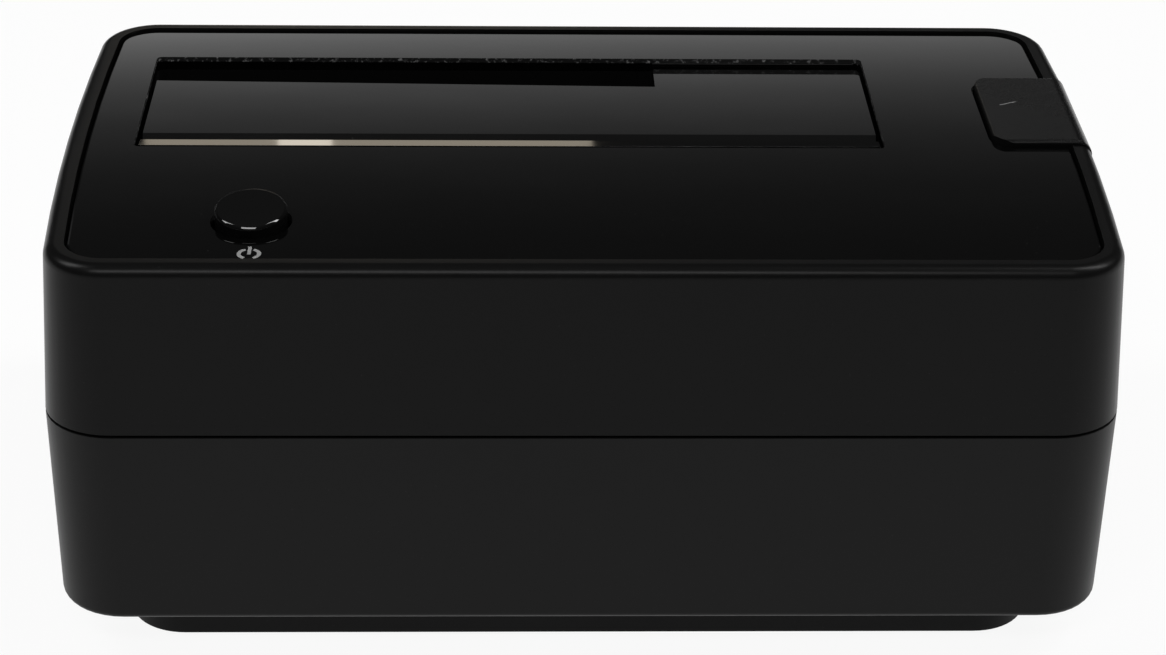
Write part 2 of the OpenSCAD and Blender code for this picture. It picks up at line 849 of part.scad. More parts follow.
module well_floor_rooms() {
  right = pivot_x - ear_half - lever_swing_gap;
  left = tip_x - tip_w / 2 - lever_swing_gap;
  y0 = lever_y0 - lever_room;
  translate([left, y0, well_z - cut])
    cube([right - left, lever_w + 2 * lever_room, well_floor + 2 * cut]);
  translate([left, y0, well_z - cut])
    cube([tip_w + 2 * lever_swing_gap, nub_y1 + lever_room - y0, well_floor + 2 * cut]);
  translate([sata_x, sata_y, drive_z])
    cube([sata_w + 2 * sata_room, sata_d + 2 * sata_room, 4 * well_floor], center = true);
}

module lever_ears() {
  for (y = [lever_y0 - lever_side_gap - ear_t, lever_y1 + lever_side_gap])
    translate([pivot_x, y + ear_t, 0])
      rotate([90, 0, 0])
        linear_extrude(ear_t)
          difference() {
            union() {
              translate([-ear_half, pivot_z])
                square([2 * ear_half, well_z - pivot_z + well_floor / 2]);
              translate([0, pivot_z])
                circle(hub_r);
            }
            translate([0, pivot_z])
              circle(lever_pin_d / 2);
          }
}

module drive_well() {
  color("#101012")
    difference() {
      union() {
        difference() {
          translate([slot_x, slot_y, well_z])
            linear_extrude(deck_top - well_z)
              rounded_rect(slot_w + 2 * well_wall, slot_d + 2 * well_wall, slot_r + well_wall);
          translate([slot_x, slot_y, drive_z])
            linear_extrude(deck_top - drive_z + cut)
              rounded_rect(slot_w, slot_d, slot_r);
          well_floor_rooms();
        }
        lever_ears();
        for (x = lug_xs, side = [0, 1]) {
          y0 = side == 0 ? lug_ys[0] - small_boss_d / 2 : slot_y1 + well_wall / 2;
          y1 = side == 0 ? slot_y0 - well_wall / 2 : lug_ys[1] + small_boss_d / 2;
          translate([x - lug / 2, y0, lug_top - lug_t])
            cube([lug, y1 - y0, lug_t]);
        }
      }
      well_fixings()
        translate([0, 0, lug_top - lug_t - cut])
          cylinder(d = small_screw_d + screw_fit, h = lug_t + 2 * cut);
      translate([slot_x0 - well_wall - cut, hinge_y, hinge_z])
        rotate([0, 90, 0])
          cylinder(d = hinge_pin_d + 2 * pin_fit, h = slot_w + 2 * well_wall + 2 * cut);
      translate([slot_x0 - well_wall - cut, hinge_y - pin_r - pin_fit, hinge_z])
        cube([slot_w + 2 * well_wall + 2 * cut, hinge_pin_d + 2 * pin_fit, deck_top]);
    }
}

module flap_profile() {
  edge = flap_t / 3;
  neck_top = hinge_z + barrel_r / 2;
  side_y = hinge_y - barrel_r * sin(land_side);
  side_z = hinge_z + barrel_r * cos(land_side);
  translate([hinge_y, hinge_z])
    circle(barrel_r);
  polygon([
    [hinge_y, flap_bot],
    [flap_y1, flap_bot],
    [flap_y1, flap_top - edge],
    [flap_y1 - edge, flap_top],
    [face_y, flap_top],
    [face_y - flap_t / 3, neck_top],
    [land_y1 + land_back, neck_top],
    [land_y1, land_z1],
    [land_y0, land_z0],
    [side_y, side_z],
    [hinge_y, hinge_z]
  ]);
  translate([flap_y1 - edge, flap_top - edge])
    quarter(edge);
}

module slot_flap() {
  notch_x1 = slot_x0 + notch_w;
  rib_y0 = hinge_y + barrel_r;
  rib_y1 = flap_y1 - max(notch_d_outer, notch_d_inner) - 1;
  rib_x0 = flap_x0 + 12;
  leg_x = spring_x0 + spring_turns * spring_pitch;
  rib_step = (leg_x - rib_x0) / 4;
  color("#070709")
    difference() {
      union() {
        translate([flap_x0, 0, 0])
          rotate([90, 0, 90])
            linear_extrude(flap_x1 - flap_x0)
              flap_profile();
        for (i = [0:4])
          translate([rib_x0 + i * rib_step - flap_rib_t / 2, rib_y0, flap_bot - flap_rib_h])
            cube([flap_rib_t, rib_y1 - rib_y0, flap_rib_h + flap_t / 2]);
      }
      translate([0, 0, flap_bot - cut])
        linear_extrude(flap_t + 2 * cut)
          polygon([
            [slot_x0, flap_y1 - notch_d_outer],
            [notch_x1, flap_y1 - notch_d_inner],
            [notch_x1, flap_y1 + cut],
            [slot_x0, flap_y1 + cut]
          ]);
      translate([flap_x1 - flap_corner_r, flap_y1 - flap_corner_r, flap_bot - cut])
        linear_extrude(flap_t + 2 * cut)
          difference() {
            square(flap_corner_r + cut);
            circle(flap_corner_r);
          }
      translate([flap_x0 - cut, hinge_y, hinge_z])
        rotate([0, 90, 0])
          cylinder(d = hinge_pin_d + 2 * pin_fit, h = flap_x1 - flap_x0 + 2 * cut);
      translate([spring_room_x0, hinge_y, hinge_z])
        rotate([0, 90, 0])
          cylinder(r = spring_room_r, h = spring_room_x1 - spring_room_x0);
      translate([spring_room_x0, hinge_y - barrel_r - cut, hinge_z - barrel_r - cut])
        cube([spring_room_x1 - spring_room_x0, barrel_r + cut + spring_room_r, barrel_r + cut]);
    }
}

module hinge_pin() {
  inset = 0.1;
  color("#b8bcc2")
    translate([slot_x0 - well_wall + inset, hinge_y, hinge_z])
      rotate([0, 90, 0])
        cylinder(d = hinge_pin_d, h = slot_w + 2 * well_wall - 2 * inset);
}

// Both legs leave the coil under the pin: one bears on the front wall, the other on a rib of the flap
module flap_spring() {
  leg_in = hinge_y - slot_y0 - 0.2;
  color("#a9adb3")
    translate([spring_x0, hinge_y, hinge_z])
      rotate([90, 0, 90])
        rotate(-90)
          wire_coil(spring_r, spring_wire, spring_turns, spring_turns * spring_pitch, leg_in, spring_leg);
}

// Power button and its switch

module power_button() {
  rise = button_top - flange_top;
  middle = button_top - button_d / 2 * tan(button_slope);
  top_r = button_d / 2 - button_bevel;
  color("#08080a")
    translate([button_x, button_y, 0]) {
      intersection() {
        translate([0, 0, flange_top - flange_t / 2])
          cylinder(d = button_d, h = rise + flange_t / 2);
        translate([0, 0, middle])
          rotate([button_slope, 0, 0])
            translate([0, 0, -2 * rise])
              cylinder(r1 = top_r + 2 * rise, r2 = top_r, h = 2 * rise);
      }
      translate([0, 0, flange_top - flange_t])
        cylinder(r = flange_r, h = flange_t);
      translate([0, 0, button_bot])
        cylinder(d = button_stem_d, h = button_stem_h + flange_t / 2);
    }
}

module power_switch() {
  color("#2b2b2e")
    difference() {
      translate([button_x - switch_size / 2, button_y - switch_size / 2, switch_board_top])
        cube([switch_size, switch_size, switch_h]);
      translate([button_x, button_y, switch_board_top + switch_floor])
        cylinder(d = plunger_d + 2 * slide_fit, h = switch_h);
    }
}

module switch_plunger() {
  bottom = switch_board_top + switch_floor + plunger_bot_gap + button_travel;
  color("#d8d8d4")
    translate([button_x, button_y, bottom])
      cylinder(d = plunger_d, h = button_bot - bottom);
}

module switch_board() {
  color("#1f5a34")
    difference() {
      translate([button_x, button_y, switch_board_bot])
        linear_extrude(board_t)
          rounded_rect(switch_board_w, switch_board_d, 1);
      switch_fixings()
        translate([0, 0, switch_board_bot - cut])
          cylinder(d = small_screw_d + screw_fit, h = board_t + 2 * cut);
    }
}

// Two wires: down from the switch board, round a bend and back to the plug under the well
module switch_lead() {
  color("#b02a22")
    for (side = [-1, 1])
      translate([lead_x + side * lead_pitch / 2, lead_y, 0]) {
        translate([0, 0, lead_z + lead_bend])
          cylinder(d = lead_d, h = switch_board_bot - lead_z - lead_bend);
        translate([0, lead_bend, lead_z + lead_bend])
          rotate([90, 0, 90])
            rotate_extrude(angle = 90, start = 180)
              translate([lead_bend, 0])
                circle(d = lead_d);
        translate([0, lead_bend, lead_z])
          rotate([-90, 0, 0])
            cylinder(d = lead_d, h = plug_y0 - lead_y - lead_bend);
      }
}

module lead_plug() {
  color("#e6e2d6")
    translate([lead_x - plug_w / 2, plug_y0, board_top])
      cube([plug_w, plug_d, plug_h]);
}

// Eject button and lever

module eject_side_profile() {
  w = eject_x1 - eject_x0;
  h = eject_top - lip_bot;
  translate([eject_x0, lip_bot])
    difference() {
      union() {
        square([w, h - eject_turn]);
        translate([eject_edge, 0])
          square([w - eject_edge - eject_turn, h]);
        square([w - eject_turn, h - eject_edge]);
        translate([eject_edge, h - eject_edge])
          mirror([1, 0])
            quarter(eject_edge);
        translate([w - eject_turn, h - eject_turn])
          quarter(eject_turn);
      }
      translate([-cut, -cut])
        square([apron_x0 - eject_x0 + cut, h - eject_t + cut]);
    }
}

module eject_end_profile() {
  h = eject_top - lip_bot;
  translate([-eject_len / 2, lip_bot]) {
    square([eject_len, h - eject_edge]);
    translate([eject_edge, 0])
      square([eject_len - 2 * eject_edge, h]);
    translate([eject_edge, h - eject_edge])
      mirror([1, 0])
        quarter(eject_edge);
    translate([eject_len - eject_edge, h - eject_edge])
      quarter(eject_edge);
  }
}

module eject_button() {
  color("#161618") {
    intersection() {
      translate([0, 0, lip_bot])
        linear_extrude(eject_top - lip_bot)
          eject_plan(0, eject_x1);
      translate([0, eject_y + eject_len / 2, 0])
        rotate([90, 0, 0])
          linear_extrude(eject_len)
            eject_side_profile();
      translate([eject_x0, eject_y, 0])
        rotate([90, 0, 90])
          linear_extrude(eject_w)
            eject_end_profile();
    }
    translate([apron_x0, eject_y - eject_len / 2, apron_bot])
      cube([apron_t, eject_len, lip_bot - apron_bot + cut]);
    translate([stem_x, eject_y, stem_bot]) {
      cylinder(d1 = stem_d / 3, d2 = stem_d, h = stem_taper);
      translate([0, 0, stem_taper])
        cylinder(d = stem_d, h = eject_under - stem_bot - stem_taper + eject_t / 2);
    }
  }
}

module eject_spring() {
  h = eject_under - pocket_floor - eject_spring_wire - 2 * spring_seat;
  color("#a9adb3")
    translate([stem_x, eject_y, pocket_floor + eject_spring_wire / 2 + spring_seat])
      wire_coil(eject_spring_r, eject_spring_wire, eject_spring_turns, h, 0, 0);
}

module eject_lever() {
  color("#3a3a3d")
    difference() {
      union() {
        translate([tip_x - tip_w / 2, lever_y0, pivot_z - lever_t / 2])
          cube([stem_x - tip_x + tip_w / 2, lever_w, lever_t]);
        translate([tip_x - tip_w / 2, lever_y0, pivot_z - lever_t / 2])
          cube([tip_w, nub_y1 - lever_y0, lever_t]);
        translate([tip_x - nub_w / 2, nub_y0, pivot_z])
          cube([nub_w, nub_y1 - nub_y0, nub_top - pivot_z]);
        for (x = [pivot_x, stem_x])
          translate([x, lever_y1, pivot_z])
            rotate([90, 0, 0])
              cylinder(r = x == pivot_x ? hub_r : lever_t / 2, h = lever_w);
      }
      translate([pivot_x, lever_y1 + cut, pivot_z])
        rotate([90, 0, 0])
          cylinder(d = lever_pin_d + 2 * pin_fit, h = lever_w + 2 * cut);
    }
}

module lever_pin() {
  len = lever_w + 2 * lever_side_gap + 2 * ear_t;
  color("#b8bcc2")
    translate([pivot_x, eject_y + len / 2, pivot_z])
      rotate([90, 0, 0])
        cylinder(d = lever_pin_d, h = len);
}

// Electronics

module main_board() {
  color("#1f5a34")
    difference() {
      translate([-board_w / 2, board_y0, board_bot])
        cube([board_w, board_d, board_t]);
      for (p = board_fix)
        translate([p[0], p[1], board_bot - cut])
          cylinder(d = small_screw_d + screw_fit, h = board_t + 2 * cut);
    }
}

module sata_slot(pins, x) {
  w = pins * sata_pitch + 1;
  translate([sata_x + x - w / 2, sata_y - sata_slot_d / 2, sata_top - sata_slot_depth])
    cube([w, sata_slot_d, sata_slot_depth + cut]);
}

module sata_connector() {
  color("#0c0c0e")
    difference() {
      translate([sata_x - sata_w / 2, sata_y - sata_d / 2, board_top])
        cube([sata_w, sata_d, sata_top - board_top]);
      for (s = sata_slots)
        sata_slot(s[0], s[1]);
    }
}

// Contact springs along the rear wall of the two slots
module sata_contacts() {
  t = 0.5;
  color("#caa64a")
    for (s = sata_slots, i = [0:s[0] - 1])
      translate([
        sata_x + s[1] + (i - (s[0] - 1) / 2) * sata_pitch - t / 2,
        sata_y + sata_slot_d / 2 - t,
        sata_top - sata_slot_depth
      ])
        cube([t, t, sata_slot_depth - 0.6]);
}

module usb_shell() {
  color("#b8bcc2")
    difference() {
      translate([usb_x, usb_front, board_top])
        rotate([90, 0, 0])
          linear_extrude(usb_len)
            usb_outline(0);
      translate([usb_x, usb_front + cut, board_top + usb_wall])
        rotate([90, 0, 0])
          linear_extrude(usb_len - usb_wall + cut)
            scale((usb_w - 2 * usb_wall) / usb_w)
              usb_outline(0);
    }
}

module usb_tongue() {
  inner_w = usb_w - 2 * usb_wall;
  y0 = usb_front - usb_len + usb_wall;
  color("#e6e2d6") {
    translate([usb_x - inner_w / 2, y0, board_top + usb_wall])
      cube([inner_w, usb_block_len, usb_h / 2]);
    translate([usb_x - usb_tongue_w / 2, y0, board_top + usb_wall + usb_tongue_lift])
      cube([usb_tongue_w, usb_len - usb_wall - usb_tongue_in, usb_tongue_t]);
  }
}

module power_inlet() {
  color("#0c0c0e")
    difference() {
      union() {
        translate([jack_x - jack_w / 2, jack_y0, board_top])
          cube([jack_w, jack_y1 - jack_y0, jack_h]);
        translate([jack_x, jack_front, jack_z])
          rotate([90, 0, 0])
            cylinder(d = jack_d, h = jack_front - jack_y1 + cut);
      }
      translate([jack_x, jack_front + cut, jack_z])
        rotate([90, 0, 0])
          cylinder(d = jack_bore_d, h = jack_front - jack_y0 - jack_floor + cut);
    }
}

module inlet_pin() {
  color("#b8bcc2")
    translate([jack_x, jack_front - jack_pin_in, jack_z])
      rotate([90, 0, 0])
        cylinder(d = jack_pin_d, h = jack_front - jack_pin_in - jack_y0 - jack_floor);
}

module bridge_chip() {
  color("#111113")
    translate([chip_x - chip_size / 2, chip_y - chip_size / 2, board_top])
      cube([chip_size, chip_size, chip_h]);
}

module crystal() {
  color("#b8bcc2")
    translate([crystal_x, crystal_y, board_top])
      linear_extrude(crystal_h)
        rounded_rect(crystal_w, crystal_d, crystal_d / 2 - 0.1);
}

module inductor() {
  color("#2b2b2e")
    translate([coil_x, coil_y, board_top])
      linear_extrude(coil_h)
        rounded_rect(coil_size, coil_size, coil_size / 5);
}

module capacitors() {
  color("#23262c")
    for (i = [0, 1])
      translate([cap_x + i * (cap_d + cap_gap), cap_y, board_top])
        cylinder(d = cap_d, h = cap_h);
}

// Fasteners

module shell_screws() {
  color("#6d7075")
    at_corners(boss_x, boss_y)
      translate([0, 0, shell_seat])
        screw(screw_d, head_d, head_h, shell_screw_len);
}

module base_screws() {
  color("#6d7075")
    at_corners(foot_x, foot_y)
      translate([0, 0, base_seat])
        screw(screw_d, head_d, head_h, base_screw_len);
}

module well_screws() {
  color("#6d7075")
    well_fixings()
      translate([0, 0, lug_top - lug_t])
        screw(small_screw_d, small_head_d, small_head_h, small_screw_len);
}

module board_screws() {
  color("#6d7075")
    for (p = board_fix)
      translate([p[0], p[1], board_top])
        mirror([0, 0, 1])
          screw(small_screw_d, small_head_d, small_head_h, board_t + standoff_h);
}

module switch_screws() {
  color("#6d7075")
    switch_fixings()
      translate([0, 0, switch_board_bot])
        screw(small_screw_d, small_head_d, small_head_h, small_screw_len);
}

upper_shell();
lower_shell();
base_plate();
rubber_feet();
top_panel();
drive_well();
slot_flap();
hinge_pin();
flap_spring();
power_button();
power_switch();
switch_plunger();
switch_board();
switch_lead();
lead_plug();
eject_button();
eject_spring();
eject_lever();
lever_pin();
main_board();
sata_connector();
sata_contacts();
usb_shell();
usb_tongue();
power_inlet();
inlet_pin();
bridge_chip();
crystal();
inductor();
capacitors();
shell_screws();
base_screws();
well_screws();
board_screws();
switch_screws();
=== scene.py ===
"""Looks of a hard drive docking station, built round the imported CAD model.

Lengths are metres, in the CAD's own frame.
"""

import json
import math

import bmesh
import bpy
from mathutils import Matrix, Vector


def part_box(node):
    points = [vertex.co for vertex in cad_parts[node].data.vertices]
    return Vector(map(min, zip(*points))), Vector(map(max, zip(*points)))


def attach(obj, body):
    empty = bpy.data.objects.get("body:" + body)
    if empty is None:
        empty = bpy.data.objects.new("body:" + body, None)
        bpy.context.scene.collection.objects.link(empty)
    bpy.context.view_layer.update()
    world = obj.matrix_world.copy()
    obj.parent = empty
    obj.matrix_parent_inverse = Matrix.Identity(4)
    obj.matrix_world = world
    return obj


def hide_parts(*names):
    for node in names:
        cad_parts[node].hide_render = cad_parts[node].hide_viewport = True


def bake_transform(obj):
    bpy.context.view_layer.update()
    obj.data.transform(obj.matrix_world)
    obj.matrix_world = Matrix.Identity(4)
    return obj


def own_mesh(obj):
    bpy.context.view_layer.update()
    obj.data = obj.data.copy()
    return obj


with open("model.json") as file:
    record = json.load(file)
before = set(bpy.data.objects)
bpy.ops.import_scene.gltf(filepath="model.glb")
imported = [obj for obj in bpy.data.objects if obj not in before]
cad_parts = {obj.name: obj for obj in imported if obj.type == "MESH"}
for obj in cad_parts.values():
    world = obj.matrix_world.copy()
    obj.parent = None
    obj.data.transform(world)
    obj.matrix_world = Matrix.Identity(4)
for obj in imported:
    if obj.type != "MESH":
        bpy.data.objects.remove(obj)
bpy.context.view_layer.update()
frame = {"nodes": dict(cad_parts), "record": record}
nodes = frame["nodes"]
scene = bpy.context.scene
MM = 0.001


# Node helpers


class Tree:
    """The node tree of a material or a world, with short calls for its nodes."""

    def __init__(self, owner):
        owner.use_nodes = True
        self.node_tree = owner.node_tree
        self.node_tree.nodes.clear()

    def add(self, kind, **settings):
        node = self.node_tree.nodes.new(kind)
        for key, value in settings.items():
            setattr(node, key, value)
        return node

    def join(self, source, socket):
        """Links a socket to another node's output, or sets it to a plain value."""
        if isinstance(source, bpy.types.NodeSocket):
            self.node_tree.links.new(source, socket)
        else:
            socket.default_value = source

    def math(self, operation, a, b=0.0, clamp=False):
        node = self.add("ShaderNodeMath", operation=operation, use_clamp=clamp)
        self.join(a, node.inputs[0])
        self.join(b, node.inputs[1])
        return node.outputs[0]

    def span(self, source, low, high, to_low=0.0, to_high=1.0, curve="LINEAR"):
        """Maps one range of values to another, and holds its ends beyond that range."""
        node = self.add("ShaderNodeMapRange", interpolation_type=curve)
        for value, socket in zip((source, low, high, to_low, to_high), node.inputs):
            self.join(value, socket)
        return node.outputs[0]

    def axes(self, source):
        node = self.add("ShaderNodeSeparateXYZ")
        self.join(source, node.inputs[0])
        return node.outputs

    def end_in_mix(self, factor, first, second, output):
        """Ends the tree in a mix of two shaders."""
        mix = self.add("ShaderNodeMixShader")
        for source, socket in zip((factor, first.outputs[0], second.outputs[0]), mix.inputs):
            self.join(source, socket)
        self.join(mix.outputs[0], self.add(output).inputs[0])


class Look(Tree):
    """A material with one Principled shader, patterned by the place on the object."""

    def __init__(self, name):
        self.material = bpy.data.materials.new(name)
        super().__init__(self.material)
        output = self.add("ShaderNodeOutputMaterial")
        self.shader = self.add("ShaderNodeBsdfPrincipled")
        self.join(self.shader.outputs[0], output.inputs[0])
        self.place = self.add("ShaderNodeTexCoord").outputs["Object"]

    def pattern(self, kind, vector=None, **values):
        """A node that reads the place on the object, with sockets set by name."""
        node = self.add(kind)
        self.join(vector or self.place, node.inputs["Vector"])
        for key, value in values.items():
            node.inputs[key.replace("_", " ")].default_value = value
        return node

    def stretched(self, scale):
        return self.pattern("ShaderNodeMapping", Scale=scale).outputs[0]

    def noise(self, scale, detail=2.0, rough=0.5, vector=None):
        """Soft noise, with about as many waves in a metre as the scale says."""
        node = self.pattern(
            "ShaderNodeTexNoise", vector, Scale=scale, Detail=detail, Roughness=rough
        )
        return node.outputs["Fac"]

    def cells(self, scale):
        """Distance from the nearest of many scattered points."""
        return self.pattern("ShaderNodeTexVoronoi", Scale=scale).outputs["Distance"]

    def blend(self, factor, a, b):
        """A colour between two others, which are plain colours or outputs."""
        node = self.add("ShaderNodeMix", data_type="RGBA")
        self.join(factor, node.inputs[0])
        for colour, socket in ((a, node.inputs[6]), (b, node.inputs[7])):
            self.join((*colour, 1.0) if isinstance(colour, tuple) else colour, socket)
        return node.outputs[2]

    def bump(self, height, strength, distance):
        node = self.add("ShaderNodeBump")
        for key, value in (("Height", height), ("Strength", strength), ("Distance", distance)):
            self.join(value, node.inputs[key])
        return node.outputs[0]

    def surface(self, colour, rough, normal, **same):
        """Links what varies over the surface, and sets what is the same all over it."""
        for key, source in (("Base Color", colour), ("Roughness", rough), ("Normal", normal)):
            self.join(source, self.shader.inputs[key])
        for key, value in same.items():
            self.shader.inputs[key.replace("_", " ")].default_value = value
        return self.material


def shade(colour, by):
    return tuple(c * by for c in colour)


def grey(level):
    return (level, level, level)


# Materials


def moulded(name, colour, rough, specular, grain=0.32 * MM, depth=0.5):
    """Matt moulded plastic: a fine spark-eroded grain, uneven sheen and a little dust."""
    dust_tone = grey(0.10)
    dust_cover = 0.12
    grain_height = 0.012 * MM
    look = Look(name)
    fine = look.noise(1 / grain, detail=3.0, rough=0.6)
    broad = look.noise(28.0, detail=4.0, rough=0.55)
    dust = look.span(look.noise(2600.0, detail=1.0), 0.74, 0.82)
    tone = look.blend(broad, shade(colour, 0.86), shade(colour, 1.14))
    tone = look.blend(look.math("MULTIPLY", dust, dust_cover), tone, dust_tone)
    worn = look.math("ADD", broad, look.math("MULTIPLY", fine, 0.4))
    sheen = look.span(worn, 0.3, 1.1, rough - 0.05, rough + 0.06)
    normal = look.bump(fine, depth, grain_height)
    return look.surface(tone, sheen, normal, Specular_IOR_Level=specular, IOR=1.5)


def sawn_edge(look, top):
    """1 on upright faces just under a panel's top, and 0 elsewhere."""
    normal = look.add("ShaderNodeNewGeometry").outputs["True Normal"]
    upright = look.span(look.math("ABSOLUTE", look.axes(normal)[2]), 0.55, 0.35)
    near_top = look.span(look.axes(look.place)[2], top - 0.75 * MM, top - 0.65 * MM)
    return look.math("MULTIPLY", upright, near_top)


def gloss(name, colour, rough=0.03, ior=1.5, edge_top=None):
    """Piano black: near mirror, with faint wiping marks, a few hairlines and specks of dust.

    Where edge_top gives the height of a panel, its sawn edges there are rough, with pale chips.
    """
    dust_tone = (0.25, 0.25, 0.24)
    dust_cover = 0.05
    scratch_rough = 0.03
    sawn_rough = 0.4
    look = Look(name)
    wipe = look.noise(34.0, detail=5.0, rough=0.6, vector=look.stretched((1.0, 2.6, 1.0)))
    hair = look.noise(60.0, rough=0.7, vector=look.stretched((1.0, 46.0, 1.0)))
    hairline = look.span(hair, 0.69, 0.73)
    dust = look.span(look.cells(420.0), 0.055, 0.03)
    tone = look.blend(wipe, shade(colour, 0.8), shade(colour, 1.25))
    tone = look.blend(look.math("MULTIPLY", dust, dust_cover), tone, dust_tone)
    sheen = look.span(wipe, 0.35, 0.75, rough, rough + 0.03)
    marred = look.math("MULTIPLY", look.math("ADD", hairline, dust), scratch_rough)
    sheen = look.math("ADD", sheen, marred)
    if edge_top is not None:
        sawn = sawn_edge(look, edge_top)
        chips = look.span(look.noise(1500.0, detail=3.0, rough=0.7), 0.55, 0.75, 0.012, 0.40)
        tone = look.blend(sawn, tone, chips)
        sheen = look.math("ADD", sheen, look.math("MULTIPLY", sawn, sawn_rough))
    return look.surface(tone, sheen, look.bump(wipe, 0.04, 0.02 * MM), IOR=ior)


def soft_rubber(name, colour):
    """Matt rubber with a dense fine grain."""
    look = Look(name)
    fine = look.noise(3200.0, detail=3.0, rough=0.65)
    broad = look.noise(120.0, detail=3.0)
    tone = look.blend(broad, shade(colour, 0.8), shade(colour, 1.6))
    sheen = look.span(fine, 0.3, 0.7, 0.74, 0.92)
    return look.surface(tone, sheen, look.bump(fine, 0.5, 0.03 * MM), Specular_IOR_Level=0.3)


def metal(name, colour, rough, stretch=(900.0, 900.0, 60.0)):
    """Drawn, ground or plated metal: fine lines along the work and a patchy film."""
    stain = 0.15
    look = Look(name)
    lines = look.noise(1.0, detail=3.0, rough=0.6, vector=look.stretched(stretch))
    film = look.noise(240.0, detail=4.0)
    tone = look.blend(film, shade(colour, 1.0 - stain), shade(colour, 1.0 + stain / 2))
    sheen = look.span(look.math("ADD", lines, film), 0.6, 1.4, rough - 0.08, rough + 0.12)
    return look.surface(tone, sheen, look.bump(lines, 0.25, 0.01 * MM), Metallic=1.0)


def circuit_board(name, colour):
    """Green solder mask over copper: straight tracks, vias and a slight weave."""
    track_green = (0.05, 0.22, 0.08)
    track_cover = 0.65
    solder = (0.55, 0.48, 0.25)
    look = Look(name)
    brick = look.pattern(
        "ShaderNodeTexBrick",
        Scale=1.0,
        Mortar_Size=0.16 * MM,
        Mortar_Smooth=0.2,
        Brick_Width=6.2 * MM,
        Row_Height=1.1 * MM,
    )
    brick.offset = 0.35
    brick.offset_frequency = 2
    brick.squash = 1.7
    brick.squash_frequency = 3
    track = brick.outputs["Fac"]
    via = look.span(look.cells(330.0), 0.13, 0.1)
    weave = look.noise(900.0, vector=look.stretched((1.0, 3.0, 1.0)))
    tone = look.blend(weave, shade(colour, 0.85), shade(colour, 1.15))
    tone = look.blend(look.math("MULTIPLY", track, track_cover), tone, track_green)
    tone = look.blend(via, tone, solder)
    sheen = look.span(weave, 0.3, 0.7, 0.28, 0.42)
    return look.surface(tone, sheen, look.bump(look.math("ADD", track, via), 0.4, 0.03 * MM))


def pale(name, colour):
    """Natural plastic with slight yellowing and a soft moulded surface."""
    red, green, blue = colour
    look = Look(name)
    broad = look.noise(160.0, detail=4.0)
    fine = look.noise(2400.0)
    tone = look.blend(broad, colour, (red, green * 0.96, blue * 0.84))
    sheen = look.span(fine, 0.3, 0.7, 0.36, 0.50)
    return look.surface(tone, sheen, look.bump(fine, 0.2, 0.01 * MM))


def wire_cover(name, colour):
    """Extruded insulation, drawn out along the wire."""
    look = Look(name)
    broad = look.noise(260.0, detail=3.0)
    fine = look.noise(2000.0, vector=look.stretched((1.0, 1.0, 0.2)))
    tone = look.blend(broad, shade(colour, 0.75), shade(colour, 1.2))
    sheen = look.span(fine, 0.3, 0.7, 0.36, 0.5)
    return look.surface(tone, sheen, look.bump(fine, 0.2, 0.01 * MM))


def ink(name, colour):
    """Pad-printed ink: thin, slightly uneven, with pinholes."""
    hole_tone = grey(0.02)
    hole_cover = 0.5
    look = Look(name)
    thin = look.noise(2600.0, detail=3.0, rough=0.6)
    holes = look.span(look.noise(5200.0), 0.66, 0.74)
    tone = look.blend(thin, shade(colour, 0.8), shade(colour, 1.08))
    tone = look.blend(look.math("MULTIPLY", holes, hole_cover), tone, hole_tone)
    sheen = look.span(thin, 0.3, 0.7, 0.5, 0.62)
    return look.surface(tone, sheen, look.bump(thin, 0.2, 0.004 * MM))


panel_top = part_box("top_panel")[1].z

finishes = {
    "upper_plastic": moulded("upper_plastic", grey(0.0042), rough=0.30, specular=0.105),
    "lower_plastic": moulded("lower_plastic", grey(0.0056), rough=0.38, specular=0.13),
    "base_plastic": moulded("base_plastic", (0.0044, 0.0044, 0.0045), rough=0.48, specular=0.11),
    "well_plastic": moulded("well_plastic", grey(0.0030), rough=0.55, specular=0.12),
    "eject_plastic": moulded(
        "eject_plastic", grey(0.0046), rough=0.27, specular=0.20, grain=0.22 * MM, depth=0.25
    ),
    "part_plastic": moulded("part_plastic", (0.016, 0.016, 0.017), rough=0.45, specular=0.4),
    "foot_rubber": soft_rubber("foot_rubber", grey(0.010)),
    "panel_gloss": gloss("panel_gloss", grey(0.0013), rough=0.02, edge_top=panel_top),
    "flap_gloss": gloss("flap_gloss", grey(0.0014), ior=1.7),
    "button_gloss": gloss("button_gloss", grey(0.0030)),
    "pale_plastic": pale("pale_plastic", (0.66, 0.63, 0.54)),
    "board_green": circuit_board("board_green", (0.012, 0.105, 0.035)),
    "lead_red": wire_cover("lead_red", (0.40, 0.025, 0.018)),
    "pin_steel": metal("pin_steel", (0.56, 0.57, 0.58), 0.26, stretch=(60.0, 900.0, 900.0)),
    "spring_steel": metal("spring_steel", (0.46, 0.47, 0.49), 0.3),
    "socket_steel": metal("socket_steel", (0.62, 0.62, 0.63), 0.24),
    "screw_steel": metal("screw_steel", (0.36, 0.37, 0.38), 0.34),
    "can_metal": metal("can_metal", (0.70, 0.70, 0.71), 0.3),
    "contact_gold": metal("contact_gold", (0.83, 0.60, 0.24), 0.2),
}
# Pale ink for the printed power sign. The same pale colour also paints a highlight on the eject button.
sign_ink_and_painted_highlight = ink("sign_ink_and_painted_highlight", grey(0.30))


# Clean edges on the CAD nodes


